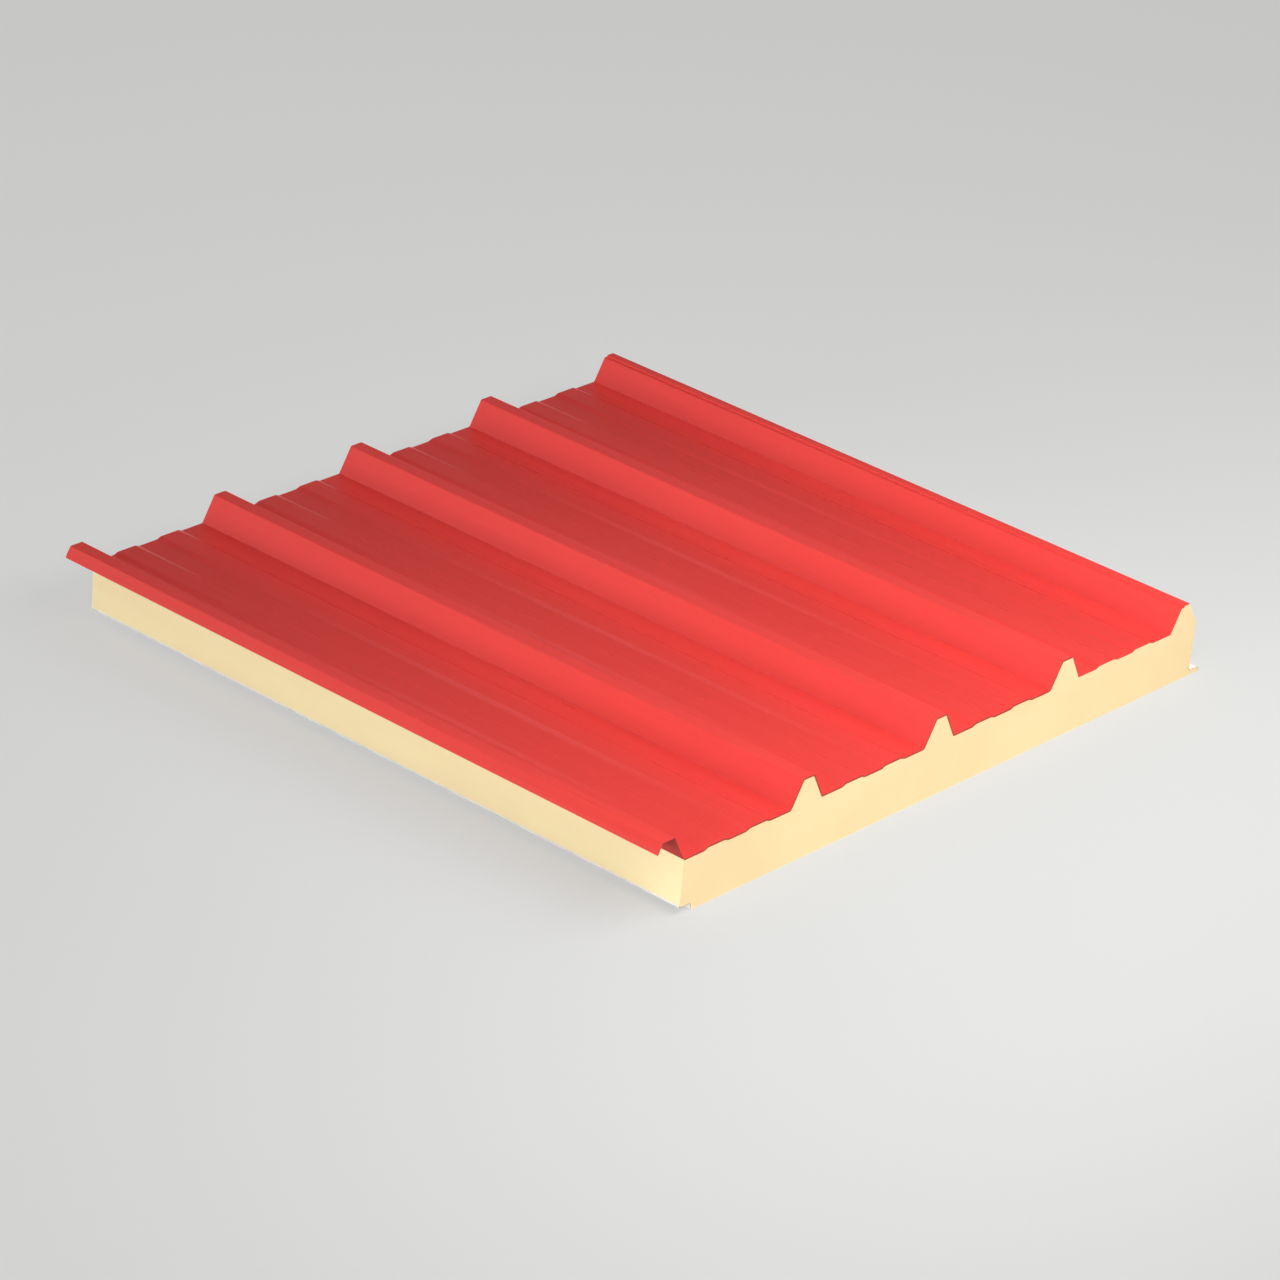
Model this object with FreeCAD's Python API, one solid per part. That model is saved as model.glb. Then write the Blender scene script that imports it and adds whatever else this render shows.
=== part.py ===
"""Insulated roof sandwich panel: a ribbed steel outer sheet, a rigid foam core and a flat steel liner.

The panel is one profile carried along its length. Every section below is drawn in the X-Z plane and
extruded along Y. X runs across the cover width, from the hollow overlap rib to the tongue, and Z is up
from the liner's underside. Section x counts from the overlap rib's centre line until place() moves it.
Units are millimetres.
"""
import FreeCAD, Part
import os
from math import atan2, cos, hypot, sin, tan

# ---- the panel as a whole
LENGTH = 1000.0            # along the ribs
RIB_COUNT = 5              # overlap rib, three plain ribs, underlap rib
RIB_PITCH = 250.0          # the cover width is one pitch less than the ribs
PANEL_DEPTH = 75.0         # liner's underside to the top of the outer sheet's pans

# ---- steel sheets
OUTER_GAUGE = 0.6
LINER_GAUGE = 0.5
RIB_BEND = 1.5             # inside radius of the bends in the ribs
BAND_BEND = 3.0            # inside radius of the bends in the pans' stiffening bands
LINER_BEND = 0.8           # inside radius of the liner's folds

# ---- ribs, measured over the top face of the sheet
RIB_HEIGHT = 35.0
RIB_BASE = 59.0
RIB_CROWN = 20.0

# ---- stiffening bands, two to a pan, raised above it
BAND_HEIGHT = 2.5
BAND_TOP = 30.0
BAND_RAMP = 7.0            # width of the slope on each side
BAND_OFFSET = 37.5         # centre of a band from the middle of its pan

# ---- overlap rib's free flank, cut short of the pan
FLANK_DROP = 14.3          # crown to the free edge
FLANK_KNEE_DROP = 7.6      # crown to the knee where the flank turns steeper
FLANK_KNEE_SWELL = 1.0     # the knee stands this far outside the plain flank
FLANK_EDGE_SWELL = 0.1     # and the free edge this far

# ---- underlap rib, which the next panel's overlap rib covers
LAP_CLEAR = 0.3            # between the two sheets where they lap
STEP_DROP = 2.2            # a ledge along the crown's left corner breaks the capillary path
STEP_LEDGE = 4.4
STEP_RISER = 1.6           # width of the slope from the ledge up to the crown
STEP_BEND = 0.6            # inside radius of the ledge's bends
EDGE_SETBACK = 3.7         # sheet's free edge, short of the overlap crown's corner
SLOPE_FOOT = 2.0           # bare foam slope ends this far above the pan

# ---- side joint at the liner
FOAM_GAP = 4.5             # between two laid panels' foam faces
TONGUE_REACH = 22.0        # foam face to the tongue's tip
TONGUE_DEPTH = 8.0         # top of the tongue at its root
TONGUE_FALL = 1.0          # the top falls this much towards the nose
NOSE_LENGTH = 5.6          # tip to the shoulder where the top starts
NOSE_SETBACK = 3.0         # tip to the corner on the underside
NOSE_RISE = 4.3            # underside to the tip
HOOK_RUN = 6.0             # the liner's edge turns 45 degrees into the foam
TONGUE_CLEAR = 1.5         # tongue in the next panel's recess
WALL_LEAN = 2.5            # recess wall's foot stands out past its head
UPSTAND = 3.0              # liner's other edge, turned up the foam face

# ---- derived levels and places
PAN_Z = PANEL_DEPTH
CROWN_Z = PANEL_DEPTH + RIB_HEIGHT
COVER_WIDTH = RIB_PITCH * (RIB_COUNT - 1)
FLANK_RUN = (RIB_BASE - RIB_CROWN) / 2
FLANK_ANGLE = atan2(RIB_HEIGHT, FLANK_RUN)
OVERLAP_FOOT_X = RIB_BASE / 2
BEND_REACH = (RIB_BEND + OUTER_GAUGE) * tan(FLANK_ANGLE / 2)
FOAM_LEFT_X = OVERLAP_FOOT_X + BEND_REACH
FOAM_RIGHT_X = COVER_WIDTH + FOAM_LEFT_X - FOAM_GAP
TIP_X = FOAM_RIGHT_X + TONGUE_REACH
RECESS_Z = TONGUE_DEPTH + TONGUE_CLEAR
RECESS_HEAD_X = TIP_X - COVER_WIDTH + TONGUE_CLEAR


def mitred(points, shift):
    """An open path moved sideways by shift, to the left of its direction, with sharp corners."""
    moved = []
    last = len(points) - 1
    for index, (x, z) in enumerate(points):
        x_in, z_in = heading(points, max(index - 1, 0))
        x_out, z_out = heading(points, min(index, last - 1))
        scale = shift / (1 + x_in * x_out + z_in * z_out)
        moved.append((x - (z_in + z_out) * scale, z + (x_in + x_out) * scale))
    return moved


def heading(points, index):
    """Unit direction of the run that starts at points[index]."""
    (x0, z0), (x1, z1) = points[index], points[index + 1]
    run = hypot(x1 - x0, z1 - z0)
    return (x1 - x0) / run, (z1 - z0) / run


def in_plane(x, z):
    return FreeCAD.Vector(x, 0, z)


def folded_edges(corners, lay, shift):
    """Edges of one face of a folded sheet, with a tangent arc at every bend.

    corners holds (x, z, inside bend radius) along the sheet's outer face, lay is the gauge, signed by
    the side it lies on (left is plus), and shift is 0 for the outer face or lay for the inner one.
    """
    path = mitred([(x, z) for x, z, bend in corners], shift)
    edges = []
    start = in_plane(*path[0])
    for index in range(1, len(path) - 1):
        x_in, z_in = heading(path, index - 1)
        x_out, z_out = heading(path, index)
        turn = atan2(x_in * z_out - z_in * x_out, x_in * x_out + z_in * z_out)
        side = 1 if turn > 0 else -1
        radius = corners[index][2] + max(0, lay * side) - shift * side
        reach = radius * tan(abs(turn) / 2)
        corner = in_plane(*path[index])
        entry = corner - in_plane(x_in, z_in) * reach
        leave = corner + in_plane(x_out, z_out) * reach
        inward = (in_plane(x_out - x_in, z_out - z_in)).normalize()
        middle = corner + inward * radius * (1 / cos(turn / 2) - 1)
        edges.append(Part.LineSegment(start, entry).toShape())
        edges.append(Part.Arc(entry, middle, leave).toShape())
        start = leave
    edges.append(Part.LineSegment(start, in_plane(*path[-1])).toShape())
    return edges


def along_length(wire):
    """Extrude a closed section over the panel's length."""
    return Part.Face(wire).extrude(FreeCAD.Vector(0, LENGTH, 0))


def folded_sheet(corners, lay):
    """A sheet of even gauge, folded to a section and carried along the panel."""
    outer = folded_edges(corners, lay, 0)
    inner = folded_edges(corners, lay, lay)
    caps = [
        Part.LineSegment(outer[end].Vertexes[end].Point, inner[end].Vertexes[end].Point).toShape()
        for end in (0, -1)
    ]
    return along_length(Part.Wire(Part.__sortEdges__(outer + inner + caps)))


def flank_x(drop):
    """Half width of a plain rib, over the sheet, at a drop below its crown."""
    return RIB_CROWN / 2 + FLANK_RUN * drop / RIB_HEIGHT


def pan_corners(centre):
    """The two raised bands of the pan about centre, from left to right."""
    corners = []
    for band in (centre - BAND_OFFSET, centre + BAND_OFFSET):
        half_foot = BAND_TOP / 2 + BAND_RAMP
        corners += [
            (band - half_foot, PAN_Z, BAND_BEND),
            (band - BAND_TOP / 2, PAN_Z + BAND_HEIGHT, BAND_BEND),
            (band + BAND_TOP / 2, PAN_Z + BAND_HEIGHT, BAND_BEND),
            (band + half_foot, PAN_Z, BAND_BEND),
        ]
    return corners


def rib_corners(centre):
    """A plain foam-filled rib."""
    return [
        (centre - RIB_BASE / 2, PAN_Z, RIB_BEND),
        (centre - RIB_CROWN / 2, CROWN_Z, RIB_BEND),
        (centre + RIB_CROWN / 2, CROWN_Z, RIB_BEND),
        (centre + RIB_BASE / 2, PAN_Z, RIB_BEND),
    ]


def overlap_corners():
    """The hollow rib at x = 0, from its free edge over the crown and down to the first pan."""
    return [
        (-flank_x(FLANK_DROP) - FLANK_EDGE_SWELL, CROWN_Z - FLANK_DROP, 0),
        (-flank_x(FLANK_KNEE_DROP) - FLANK_KNEE_SWELL, CROWN_Z - FLANK_KNEE_DROP, RIB_BEND),
    ] + rib_corners(0)[1:]


def underlap_corners():
    """The last rib: the overlap rib's inside, less a clearance, with a ledge along its left corner."""
    inset = OUTER_GAUGE + LAP_CLEAR
    inset_x = inset / sin(FLANK_ANGLE)
    crown_z = CROWN_Z - inset
    step_x = COVER_WIDTH - flank_x(inset + STEP_DROP) + inset_x
    return [
        (COVER_WIDTH - OVERLAP_FOOT_X + inset_x, PAN_Z, RIB_BEND),
        (step_x, crown_z - STEP_DROP, STEP_BEND),
        (step_x + STEP_LEDGE, crown_z - STEP_DROP, STEP_BEND),
        (step_x + STEP_LEDGE + STEP_RISER, crown_z, STEP_BEND),
        (COVER_WIDTH + RIB_CROWN / 2 - EDGE_SETBACK, crown_z, 0),
    ]


def make_outer_sheet():
    corners = overlap_corners()
    for bay in range(RIB_COUNT - 1):
        corners += pan_corners(RIB_PITCH * (bay + 0.5))
        if bay < RIB_COUNT - 2:
            corners += rib_corners(RIB_PITCH * (bay + 1))
    corners += underlap_corners()
    return folded_sheet(corners, -OUTER_GAUGE)


def make_liner_sheet():
    upstand_x = FOAM_LEFT_X - LINER_GAUGE
    corners = [
        (upstand_x, RECESS_Z + UPSTAND, 0),
        (upstand_x, RECESS_Z, LINER_BEND),
        (RECESS_HEAD_X, RECESS_Z, LINER_BEND),
        (RECESS_HEAD_X + WALL_LEAN, 0, LINER_BEND),
        (TIP_X - NOSE_SETBACK, 0, LINER_BEND),
        (TIP_X, NOSE_RISE, LINER_BEND),
        (TIP_X - NOSE_LENGTH, TONGUE_DEPTH - TONGUE_FALL, LINER_BEND),
        (FOAM_RIGHT_X, TONGUE_DEPTH, LINER_BEND),
        (FOAM_RIGHT_X - HOOK_RUN, TONGUE_DEPTH + HOOK_RUN, 0),
    ]
    return folded_sheet(corners, LINER_GAUGE)


def make_foam_core(outer_sheet, liner_sheet):
    """Foam fills the space between the sheets: a blank that passes through both of them, less both."""
    spare = RIB_HEIGHT
    free_edge_x, crown_z, _ = underlap_corners()[-1]
    outline = [
        (FOAM_LEFT_X, -spare),
        (FOAM_LEFT_X, CROWN_Z + spare),
        (free_edge_x, CROWN_Z + spare),
        (free_edge_x, crown_z - OUTER_GAUGE),
        (FOAM_RIGHT_X, PAN_Z + SLOPE_FOOT),
        (FOAM_RIGHT_X, TONGUE_DEPTH - LINER_GAUGE / 2),
        (FOAM_RIGHT_X + spare, TONGUE_DEPTH + spare),
        (FOAM_RIGHT_X + spare, -spare),
        (FOAM_LEFT_X, -spare),
    ]
    blank = along_length(Part.makePolygon([in_plane(x, z) for x, z in outline]))
    pieces = blank.cut([outer_sheet, liner_sheet]).Solids
    inside = FreeCAD.Vector(COVER_WIDTH / 2, LENGTH / 2, PANEL_DEPTH / 2)
    return next(piece for piece in pieces if piece.isInside(inside, LINER_GAUGE, False))


def place(shape, left_x, right_x):
    """Move a section's shape so that the panel's bounding box stands on the origin."""
    shape.translate(FreeCAD.Vector(-(left_x + right_x) / 2, -LENGTH / 2, 0))
    return shape


outer_sheet = make_outer_sheet()
liner_sheet = make_liner_sheet()
foam_core = make_foam_core(outer_sheet, liner_sheet)

LEFT_X = outer_sheet.BoundBox.XMin
RIGHT_X = liner_sheet.BoundBox.XMax
nodes = {"outer_sheet": outer_sheet, "foam_core": foam_core, "liner_sheet": liner_sheet}

os.makedirs("parts", exist_ok=True)
for name, shape in nodes.items():
    place(shape, LEFT_X, RIGHT_X)
    shape.exportStep(f"parts/{name}.step")
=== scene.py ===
"""Looks for the insulated sandwich panel: materials, bond lines, floor, lights and camera.

Lengths are in metres, angles in degrees and colours linear. The axes are the frame's: the ribs run
along Y, the cover width lies along X, and Z is up.
"""
from collections import Counter
from math import cos, radians, sin

import bmesh
import bpy
from mathutils import Matrix, Vector


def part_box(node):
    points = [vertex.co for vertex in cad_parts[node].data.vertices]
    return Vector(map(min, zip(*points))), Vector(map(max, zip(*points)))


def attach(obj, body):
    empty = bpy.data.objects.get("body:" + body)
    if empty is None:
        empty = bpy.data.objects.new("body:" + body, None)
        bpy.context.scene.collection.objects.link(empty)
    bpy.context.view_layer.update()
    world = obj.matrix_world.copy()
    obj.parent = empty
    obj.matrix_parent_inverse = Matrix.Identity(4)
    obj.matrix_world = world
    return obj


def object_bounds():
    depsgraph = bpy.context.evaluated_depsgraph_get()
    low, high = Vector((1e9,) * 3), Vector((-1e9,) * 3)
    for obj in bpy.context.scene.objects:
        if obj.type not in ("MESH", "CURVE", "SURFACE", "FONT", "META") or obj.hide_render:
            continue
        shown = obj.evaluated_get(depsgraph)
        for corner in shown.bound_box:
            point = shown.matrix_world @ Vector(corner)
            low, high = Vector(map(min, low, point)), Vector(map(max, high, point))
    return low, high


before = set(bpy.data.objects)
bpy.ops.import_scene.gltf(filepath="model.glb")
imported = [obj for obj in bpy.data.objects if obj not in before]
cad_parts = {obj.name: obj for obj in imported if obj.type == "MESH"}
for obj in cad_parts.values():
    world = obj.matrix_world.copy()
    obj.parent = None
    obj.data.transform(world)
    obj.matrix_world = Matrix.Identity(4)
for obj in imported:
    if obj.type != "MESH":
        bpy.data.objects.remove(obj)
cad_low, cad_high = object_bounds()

MM = 0.001

# A pattern's scale is its features in a metre, the same all ways or along X, Y and Z. A range is
# the part of a pattern's values over which one colour or number turns into the next.
NOISE_RANGE = (0.3, 0.7)                 # most of a plain noise

# ---- coated steel
RED = (0.78, 0.050, 0.042)
RED_STREAK = (0.755, 0.047, 0.040)
# painted shade: the red sheet's underside, inside the hollow ribs, is darkened to look shaded
RED_UNDERSIDE_SHADED = (0.44, 0.022, 0.019)
WHITE = (0.84, 0.83, 0.80)
WHITE_STREAK = (0.815, 0.805, 0.78)
CUT_STEEL = (0.34, 0.030, 0.020)
CUT_STEEL_SHADE = 0.6                    # its darker grains, as a share of its colour
STEEL_STREAKS = (210.0, 2.4, 210.0)      # drawn out in the rolling direction
STEEL_CLOUDS = 2.6
STEEL_SWAY = (9.0, 3.0, 9.0)             # slow waviness of a thin sheet
STEEL_PEEL = 750.0                       # orange peel of the paint
STEEL_GRAIN = 420.0                      # on the cut edge
STREAK_RANGE = (0.40, 0.62)
UNDERSIDE_RANGE = (-0.30, -0.20)              # Z of the normal, where the underside's darker colour, a painted shade, ends
STEEL_ROUGHNESS = (0.27, 0.33)
CLOUD_DULLER = 0.05                      # clouds, the cut edge and the back are this much rougher
CUT_DULLER = 0.2
BACK_DULLER = 0.45
STEEL_SPECULAR = 0.5
SWAY_HEIGHT = 0.4 * MM
PEEL_HEIGHT = 0.012 * MM
LINER_EDGE = 0.6 * MM                    # the liner's cut edge is painted up to this height
LINER_EDGE_FADE = 1.5 * MM

# ---- rigid foam
CREAM = (0.905, 0.705, 0.40)
CREAM_DEEP = (0.88, 0.665, 0.365)
CREAM_CELL = (0.78, 0.57, 0.29)
CREAM_SKIN = (0.97, 0.83, 0.485)
FOAM_CLOUDS = 7.0
FOAM_FLOW = (14.0, 5.0, 16.0)            # flow marks in the moulded skin
FOAM_SAW = (520.0, 1.0, 26.0)            # saw marks, upright on a cut end
FOAM_CELLS = 1150.0
FOAM_VOIDS = 95.0
CLOUD_RANGE = (0.35, 0.68)
FLOW_RANGE = (0.3, 0.75)
CELL_RANGE = (0.35, 0.85)
VOID_RANGE = (0.05, 0.11)
FLOW_TINT = 0.35                         # how far each pattern tints the foam
CELL_TINT = 0.16
VOID_TINT = 0.45
SKIN_TO_CUT_RANGE = (0.3, 1.6)           # clouds, plus 1 on a cut end
FOAM_ROUGHNESS = (0.55, 0.88)
FOAM_SPECULAR = 0.3
FOAM_HEIGHT = 0.12 * MM                  # relief, of which each pattern has its share
FLOW_RELIEF = 1.5
CELL_RELIEF = -0.5
SAW_RELIEF = 0.8
VOID_RELIEF = -2.0

# ---- bond line: the dense foam and adhesive that show under the outer sheet on a cut end
BOND = (0.38, 0.040, 0.016)
BOND_PALE = (0.46, 0.075, 0.032)
BOND_MOTTLE = 260.0
BOND_GRAIN = 1500.0
MOTTLE_RANGE = (0.35, 0.7)
BOND_ROUGHNESS = (0.5, 0.75)
BOND_SPECULAR = 0.1
BOND_HEIGHT = 0.05 * MM
BOND_WIDTH = 1.5 * MM
BOND_PROUD = 0.12 * MM
BOND_ROOT = 0.4 * MM                     # depth of the strip inside the foam

# ---- cut ends
END_FACING = 0.7                         # least Y of a cut end's normal
ON_END = 0.01 * MM                       # a point this near a cut end lies on it,
ON_CROWN = 0.2 * MM                      # and one this near the foam's top lies on a rib's crown

# ---- floor, and the backdrop in its tone that a camera or mirror ray meets past its edge
FLOOR = (0.68, 0.68, 0.67)
FLOOR_SPECKLE = 9.0
FLOOR_SPECKLE_SHADE = 0.985
FLOOR_LIT = 0.30                         # part of the seen floor's tone that takes the shadow
FLOOR_GLOW = 0.74                        # and part that is plain
FLOOR_HALF_SIDE = 30.0
FLOOR_DROP = 0.3 * MM                    # below the panel's underside
BACKDROP_RANGE = (0.10, 0.38)            # Z of the ray's direction
BACKDROP_GLOW = (0.77, 0.18)

# ---- light
WORLD = (0.93, 0.96, 1.0)
WORLD_LIGHT = 0.10
WIDE = 180.0                             # spread of a plain softbox
NARROW = 50.0                            # spread that keeps a low softbox's light off the floor

# ---- camera, aimed from the panel's overlap side at a cut end
LENS = 150.0                             # in millimetres, as is the sensor
SENSOR = 36.0
CAMERA_AZIMUTH = -50.46
CAMERA_ELEVATION = 26.0
CAMERA_ROLL = -5.46
CAMERA_DISTANCE = 6.762
CAMERA_TARGET = Vector((-0.0325, -0.0300, 0.0340))
CAMERA_CLIP = (0.1, 100.0)


def shade(colour, share):
    return tuple(share * part for part in colour)


class Graph:
    """The node tree of a material or a world."""

    def __init__(self, owner):
        self.owner = owner
        owner.use_nodes = True
        self.tree = owner.node_tree
        self.tree.nodes.clear()

    def add(self, kind, inputs=None, **settings):
        """A new node. Inputs go by socket name or number, as a value or another node's socket."""
        node = self.tree.nodes.new(kind)
        for name, value in settings.items():
            setattr(node, name, value)
        for key, value in (inputs or {}).items():
            socket = node.inputs[key]
            if isinstance(value, bpy.types.NodeSocket):
                self.tree.links.new(value, socket)
            else:
                socket.default_value = (*value, 1.0) if socket.type == "RGBA" else value
        return node

    def maths(self, operation, first, second=0.0):
        return self.add("ShaderNodeMath", {0: first, 1: second}, operation=operation).outputs[0]

    def weighted(self, *terms):
        """The sum of some sockets, each times its own number or socket."""
        parts = [self.maths("MULTIPLY", socket, weight) for socket, weight in terms]
        total = parts[0]
        for part in parts[1:]:
            total = self.maths("ADD", total, part)
        return total

    def ramp(self, value, source, target=(0.0, 1.0)):
        """The value carried smoothly from one range to another."""
        node = self.add("ShaderNodeMapRange", {
            "Value": value,
            "From Min": source[0],
            "From Max": source[1],
            "To Min": target[0],
            "To Max": target[1],
        }, interpolation_type="SMOOTHSTEP")
        return node.outputs["Result"]

    def blend(self, factor, first, second):
        """The colour that factor picks, from first at 0 to second at 1."""
        node = self.add("ShaderNodeMix", {0: factor, 6: first, 7: second}, data_type="RGBA")
        return node.outputs[2]

    def position(self):
        return self.add("ShaderNodeTexCoord").outputs["Object"]

    def part_of(self, vector, axis):
        return self.add("ShaderNodeSeparateXYZ", {"Vector": vector}).outputs[axis]

    def pattern(self, kind, scale, inputs):
        place = self.position()
        if isinstance(scale, tuple):
            node = self.add("ShaderNodeVectorMath", {0: place, 1: scale}, operation="MULTIPLY")
            place, scale = node.outputs[0], 1.0
        return self.add(kind, {"Vector": place, "Scale": scale, **inputs})

    def noise(self, scale, detail=2.0, roughness=0.5):
        inputs = {"Detail": detail, "Roughness": roughness}
        return self.pattern("ShaderNodeTexNoise", scale, inputs).outputs["Fac"]

    def cells(self, scale):
        """The distance to the nearest of some scattered cells."""
        return self.pattern("ShaderNodeTexVoronoi", scale, {}).outputs["Distance"]

    def bump(self, relief, height, below=None):
        """A normal bent by a relief of some height, over the normal below."""
        inputs = {"Height": relief, "Distance": height, "Strength": 1.0}
        if below is not None:
            inputs["Normal"] = below
        return self.add("ShaderNodeBump", inputs).outputs["Normal"]

    def facing(self, axis):
        """How far the surface looks along an axis, from -1 to 1."""
        return self.part_of(self.add("ShaderNodeNewGeometry").outputs["True Normal"], axis)

    def on_cut_end(self):
        """1 on the faces that look along the ribs, 0 elsewhere."""
        return self.maths("GREATER_THAN", self.maths("ABSOLUTE", self.facing("Y")), END_FACING)

    def seen_directly(self):
        """1 where a camera, mirror or glass ray arrives, 0 for the rays that carry light."""
        path = self.add("ShaderNodeLightPath").outputs
        mirrored = self.maths("MAXIMUM", path["Is Glossy Ray"], path["Is Transmission Ray"])
        return self.maths("MAXIMUM", path["Is Camera Ray"], mirrored)

    def finish(self, colour, roughness, normal, specular):
        shader = self.add("ShaderNodeBsdfPrincipled", {
            "Base Color": colour,
            "Roughness": roughness,
            "Normal": normal,
            "Specular IOR Level": specular,
        })
        self.add("ShaderNodeOutputMaterial", {"Surface": shader.outputs[0]})
        return self.owner


def coated_steel(name, paint, streak, back, bare_above=None):
    """Coil-coated sheet: faint streaks, fine orange peel, a duller back and a bare cut edge.

    Where bare_above is given, the cut edge is painted below that height. A darker back is painted
    shade.
    """
    g = Graph(bpy.data.materials.new(name))
    streaks = g.noise(STEEL_STREAKS, detail=4.0, roughness=0.6)
    clouds = g.noise(STEEL_CLOUDS, detail=3.0)
    bare = g.on_cut_end()
    if bare_above is not None:
        height = g.part_of(g.position(), "Z")
        above = g.ramp(height, (bare_above, bare_above + LINER_EDGE_FADE))
        bare = g.maths("MULTIPLY", bare, above)
    down = g.ramp(g.facing("Z"), UNDERSIDE_RANGE, (1.0, 0.0))

    tone = g.weighted((clouds, 0.5), (streaks, 0.5))
    painted = g.blend(g.ramp(tone, STREAK_RANGE), paint, streak)
    grain = g.noise(STEEL_GRAIN, detail=3.0)
    metal = g.blend(grain, CUT_STEEL, shade(CUT_STEEL, CUT_STEEL_SHADE))
    # downward faces take the back colour, which on the red sheet is painted shade
    colour = g.blend(bare, g.blend(down, painted, back), metal)

    satin = g.maths("ADD", g.ramp(streaks, NOISE_RANGE, STEEL_ROUGHNESS),
                    g.ramp(clouds, NOISE_RANGE, (0.0, CLOUD_DULLER)))
    duller = g.maths("MAXIMUM", g.maths("MULTIPLY", bare, CUT_DULLER),
                     g.maths("MULTIPLY", down, BACK_DULLER))
    roughness = g.maths("ADD", satin, duller)

    sway = g.bump(g.noise(STEEL_SWAY, detail=1.5, roughness=0.4), SWAY_HEIGHT)
    normal = g.bump(g.noise(STEEL_PEEL), PEEL_HEIGHT, below=sway)
    return g.finish(colour, roughness, normal, STEEL_SPECULAR)


def rigid_foam(name):
    """Closed-cell foam: sawn cells on the cut ends, a moulded skin on the long sides."""
    g = Graph(bpy.data.materials.new(name))
    cut = g.on_cut_end()
    uncut = g.maths("SUBTRACT", 1.0, cut)
    clouds = g.noise(FOAM_CLOUDS, detail=4.0, roughness=0.55)
    flow = g.noise(FOAM_FLOW, roughness=0.45)
    saw = g.noise(FOAM_SAW)
    cells = g.cells(FOAM_CELLS)
    voids = g.ramp(g.cells(FOAM_VOIDS), VOID_RANGE, (1.0, 0.0))

    sawn = g.blend(g.ramp(clouds, CLOUD_RANGE), CREAM, CREAM_DEEP)
    sawn = g.blend(g.ramp(cells, CELL_RANGE, (0.0, CELL_TINT)), sawn, CREAM_CELL)
    sawn = g.blend(g.maths("MULTIPLY", voids, VOID_TINT), sawn, CREAM_CELL)
    skin = g.blend(g.ramp(flow, FLOW_RANGE, (0.0, FLOW_TINT)), CREAM_SKIN, CREAM)
    colour = g.blend(cut, skin, sawn)
    roughness = g.ramp(g.maths("ADD", clouds, cut), SKIN_TO_CUT_RANGE, FOAM_ROUGHNESS)

    sawn_relief = g.weighted((cells, CELL_RELIEF), (saw, SAW_RELIEF), (voids, VOID_RELIEF))
    skin_relief = g.maths("MULTIPLY", flow, FLOW_RELIEF)
    relief = g.weighted((sawn_relief, cut), (skin_relief, uncut))
    return g.finish(colour, roughness, g.bump(relief, FOAM_HEIGHT), FOAM_SPECULAR)


def bond_material(name):
    """Dense amber foam and adhesive along the sheet."""
    g = Graph(bpy.data.materials.new(name))
    mottle = g.noise(BOND_MOTTLE, detail=3.0, roughness=0.6)
    grain = g.noise(BOND_GRAIN)
    colour = g.blend(g.ramp(mottle, MOTTLE_RANGE), BOND, BOND_PALE)
    roughness = g.ramp(grain, NOISE_RANGE, BOND_ROUGHNESS)
    return g.finish(colour, roughness, g.bump(grain, BOND_HEIGHT), BOND_SPECULAR)


def floor_material():
    """Lit as any floor for the rays that carry light. Where it is seen, its tone is mostly plain."""
    g = Graph(bpy.data.materials.new("floor"))
    speckle = g.noise(FLOOR_SPECKLE, detail=3.0)
    tint = g.blend(speckle, FLOOR, shade(FLOOR, FLOOR_SPECKLE_SHADE))
    lit = g.add("ShaderNodeBsdfDiffuse", {"Color": tint})
    part_lit = g.add("ShaderNodeBsdfDiffuse", {"Color": shade(FLOOR, FLOOR_LIT)})
    glow = g.add("ShaderNodeEmission", {"Color": FLOOR, "Strength": FLOOR_GLOW})
    plain = g.add("ShaderNodeAddShader", {0: part_lit.outputs[0], 1: glow.outputs[0]})
    mixed = g.add("ShaderNodeMixShader",
                  {0: g.seen_directly(), 1: lit.outputs[0], 2: plain.outputs[0]})
    g.add("ShaderNodeOutputMaterial", {"Surface": mixed.outputs[0]})
    return g.owner


def end_outline(node, end_y):
    """The outline of a CAD node's cut end at end_y, as one closed loop of points in order."""
    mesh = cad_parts[node].data
    points = [tuple(round(part, 6) for part in vertex.co) for vertex in mesh.vertices]
    uses = Counter()
    for face in mesh.polygons:
        corners = [points[index] for index in face.vertices]
        if all(abs(y - end_y) < ON_END for _, y, _ in corners):
            around_face = zip(corners, corners[1:] + corners[:1])
            uses.update(frozenset(edge) for edge in around_face)

    neighbours = {}
    for edge, count in uses.items():
        if count == 1:                   # an edge inside the cut end has a face on each side
            first, second = edge
            neighbours.setdefault(first, []).append(second)
            neighbours.setdefault(second, []).append(first)

    loop = [min(neighbours)]
    while True:
        onward = [point for point in neighbours[loop[-1]] if point not in loop[-2:]]
        if not onward or onward[0] == loop[0]:
            return [Vector(point) for point in loop]
        loop.append(onward[0])


def bonded_run(end_y):
    """The foam's cut outline under the outer sheet, from the overlap side to the last crown."""
    loop = end_outline("foam_core", end_y)
    start = min(range(len(loop)), key=lambda i: (round(loop[i].x, 5), -loop[i].z))
    loop = loop[start:] + loop[:start]   # from the top of the long side
    if loop[1].z < loop[0].z - MM:       # down that side, so the other way round
        loop = loop[:1] + loop[:0:-1]
    top = max(point.z for point in loop)
    last = max(i for i, point in enumerate(loop) if point.z > top - ON_CROWN)
    return loop[:last + 1]


def moved_right(run, width):
    """The run moved to its right by width, with mitred corners."""
    steps = [(end - start).normalized() for start, end in zip(run, run[1:])]
    moved = []
    for point, before, after in zip(run, steps[:1] + steps, steps + steps[-1:]):
        right = Vector((before.z + after.z, 0, -before.x - after.x))
        moved.append(point + right * (width / (1 + before.dot(after))))
    return moved


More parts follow.
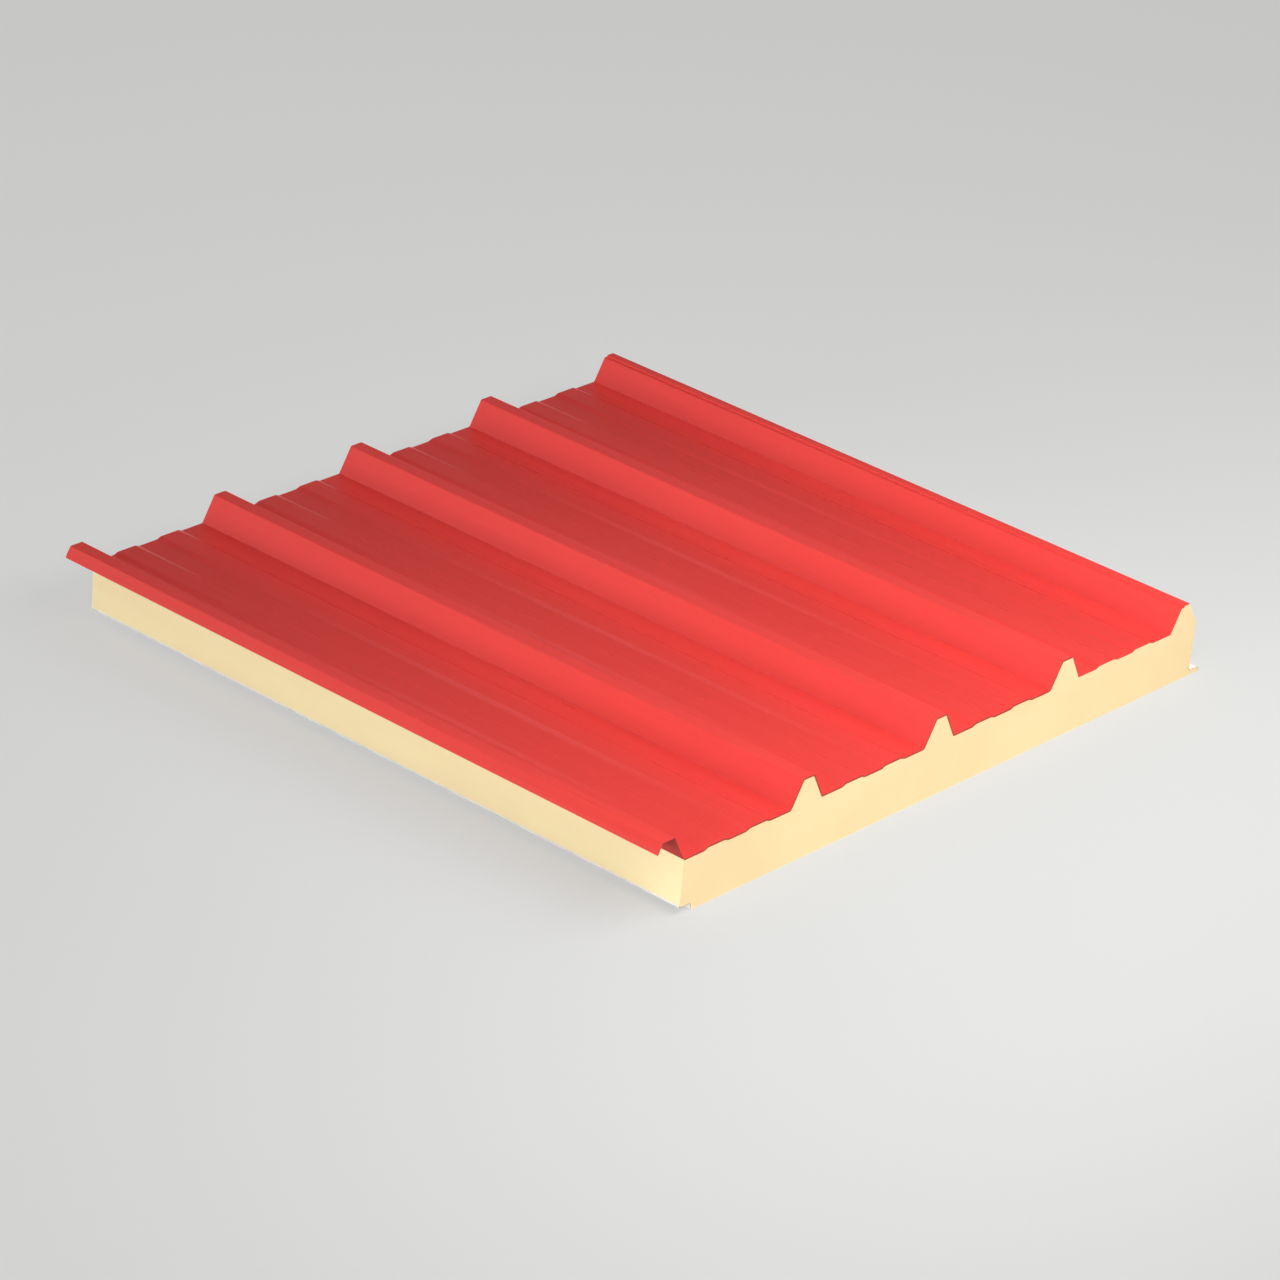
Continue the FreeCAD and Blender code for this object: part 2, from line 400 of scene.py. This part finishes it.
def bond_line(name, end_y, outward, material):
    """A closed strip under the outer sheet on one cut end. It faces along Y by outward's sign."""
    upper = bonded_run(end_y)
    lower = moved_right(upper, BOND_WIDTH)
    proud = Vector((0, outward * BOND_PROUD, 0))
    root = Vector((0, -outward * BOND_ROOT, 0))

    shape = bmesh.new()
    rings = [[shape.verts.new(point) for point in (a + proud, b + proud, b + root, a + root)]
             for a, b in zip(upper, lower)]
    shape.faces.new(reversed(rings[0]))
    shape.faces.new(rings[-1])
    for ring, following in zip(rings, rings[1:]):
        for side in range(4):
            turn = (side + 1) % 4
            shape.faces.new((ring[side], ring[turn], following[turn], following[side]))
    bmesh.ops.recalc_face_normals(shape, faces=shape.faces)

    mesh = bpy.data.meshes.new(name)
    shape.to_mesh(mesh)
    shape.free()
    mesh.materials.append(material)
    piece = bpy.data.objects.new(name, mesh)
    bpy.context.scene.collection.objects.link(piece)
    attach(piece, "root")


def dress(node, material):
    """Give a CAD node this material in place of its own."""
    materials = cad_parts[node].data.materials
    materials.clear()
    materials.append(material)


def make_floor():
    mesh = bpy.data.meshes.new("floor")
    corners = [(x * FLOOR_HALF_SIDE, y * FLOOR_HALF_SIDE, -FLOOR_DROP)
               for x, y in ((-1, -1), (1, -1), (1, 1), (-1, 1))]
    mesh.from_pydata(corners, [], [(0, 1, 2, 3)])
    mesh.materials.append(floor_material())
    floor = bpy.data.objects.new("floor", mesh)
    bpy.context.scene.collection.objects.link(floor)


def make_world():
    """A weak even light, and for camera and mirror rays a backdrop that dims upwards."""
    g = Graph(bpy.data.worlds.new("studio"))
    height = g.part_of(g.add("ShaderNodeTexCoord").outputs["Generated"], "Z")
    glow = g.ramp(height, BACKDROP_RANGE, BACKDROP_GLOW)
    light = g.add("ShaderNodeBackground", {"Color": WORLD, "Strength": WORLD_LIGHT})
    backdrop = g.add("ShaderNodeBackground", {"Color": FLOOR, "Strength": glow})
    mixed = g.add("ShaderNodeMixShader",
                  {0: g.seen_directly(), 1: light.outputs[0], 2: backdrop.outputs[0]})
    g.add("ShaderNodeOutputWorld", {"Surface": mixed.outputs[0]})
    bpy.context.scene.world = g.owner


def aim(place, target):
    """The rotation that turns a lamp or camera at place towards target."""
    return (target - place).to_track_quat("-Z", "Y").to_matrix().to_4x4()


def make_lamp(name, place, size, power, target=(0, 0, 0), spread=WIDE, gloss=True):
    """A softbox that no camera sees. Place and target are from the middle of the object's box."""
    centre = (cad_low + cad_high) / 2
    place, target = centre + Vector(place), centre + Vector(target)
    data = bpy.data.lights.new(name, "AREA")
    data.shape = "RECTANGLE"
    data.size, data.size_y = size
    data.energy = power
    data.spread = radians(spread)
    lamp = bpy.data.objects.new(name, data)
    lamp.matrix_world = Matrix.Translation(place) @ aim(place, target)
    lamp.visible_camera = False
    lamp.visible_glossy = gloss
    bpy.context.scene.collection.objects.link(lamp)


def around(azimuth, elevation, distance, target):
    """The place at a distance from target. Azimuth 0 looks along Y, towards the back."""
    a, e = radians(azimuth), radians(elevation)
    return target + Vector((sin(a) * cos(e), -cos(a) * cos(e), sin(e))) * distance


def make_camera():
    data = bpy.data.cameras.new("camera")
    data.lens = LENS
    data.sensor_width = SENSOR
    data.clip_start, data.clip_end = CAMERA_CLIP
    camera = bpy.data.objects.new("camera", data)
    place = around(CAMERA_AZIMUTH, CAMERA_ELEVATION, CAMERA_DISTANCE, CAMERA_TARGET)
    roll = Matrix.Rotation(radians(-CAMERA_ROLL), 4, "Z")
    camera.matrix_world = Matrix.Translation(place) @ aim(place, CAMERA_TARGET) @ roll
    bpy.context.scene.collection.objects.link(camera)
    bpy.context.scene.camera = camera


# the red sheet's darker underside colour is painted shade
dress("outer_sheet", coated_steel("red_coated_steel", RED, RED_STREAK, RED_UNDERSIDE_SHADED))
dress("liner_sheet", coated_steel("white_coated_steel", WHITE, WHITE_STREAK, WHITE,
                                  bare_above=cad_low.z + LINER_EDGE))
dress("foam_core", rigid_foam("rigid_foam"))

bond = bond_material("bond_line")
foam_low, foam_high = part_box("foam_core")
bond_line("bond_line_front", foam_low.y, -1, bond)
bond_line("bond_line_back", foam_high.y, 1, bond)

make_floor()
make_world()
# each lamp's place, its width and height, and its power in watts
make_lamp("key", (0.10, -1.00, 1.00), (2.4, 0.6), 27.0, target=(0, -0.35, 0))
make_lamp("front", (0.0, -4.20, 0.75), (3.4, 0.9), 0.6, spread=NARROW, gloss=False)
make_lamp("side", (-4.6, -0.30, 0.75), (3.6, 0.9), 14.0, spread=NARROW)
make_lamp("side_high", (-3.7, -0.50, 2.55), (3.4, 1.4), 6.0)
make_lamp("far_side", (4.6, 0.50, 0.75), (3.6, 0.9), 8.0, spread=NARROW, gloss=False)
make_lamp("back", (0.3, 4.20, 0.75), (3.4, 0.9), 5.5, spread=NARROW, gloss=False)
make_lamp("rim", (-2.0, 2.1, 1.15), (1.6, 1.2), 4.0)
make_lamp("top", (0.26, 1.48, 2.10), (1.8, 0.25), 2.5)
make_camera()
bpy.context.scene.view_settings.view_transform = "Standard"
